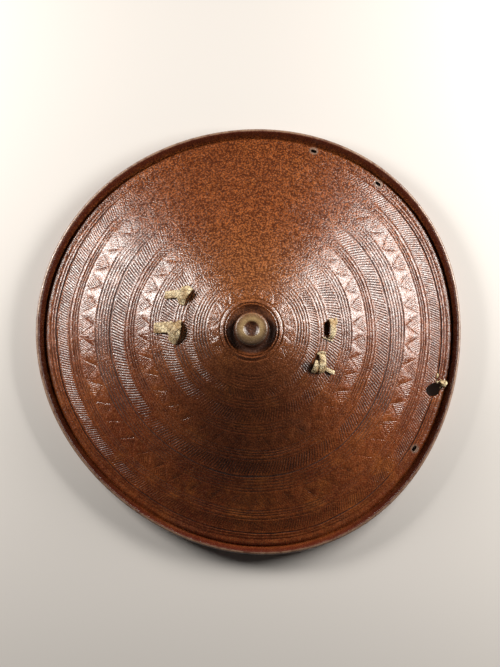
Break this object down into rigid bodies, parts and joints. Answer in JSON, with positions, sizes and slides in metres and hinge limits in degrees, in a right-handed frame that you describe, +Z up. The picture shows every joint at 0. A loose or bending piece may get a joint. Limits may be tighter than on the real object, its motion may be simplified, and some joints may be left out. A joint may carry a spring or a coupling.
{
  "type": "round hide shield",
  "caption": "Round domed hide shield with a raised knob boss, carved ring bands, a turned-up rim and a hand grip tied across its hollow back.",
  "frame": {"origin": "middle of the outline, on the surface that the flat ring under the rim lies on", "axes": "+Z up along the boss's axis; +X from the left pair of grip thongs towards the right pair, nearly along the grip; +Y towards the edge that carries the two neighbouring rim holes"},
  "size_m": [0.5779, 0.5812, 0.1442],
  "materials": {
    "hide": "polished, worn",
    "grip_leather": "dull, handled",
    "rawhide": "dry"
  },
  "bodies": {
    "root": {"hide_body": "hide", "hand_grip": "grip_leather", "thong_upper_left": "rawhide", "thong_lower_left": "rawhide", "thong_upper_right": "rawhide", "thong_lower_right": "rawhide", "rim_thong": "rawhide"}
  },
  "joints": []
}
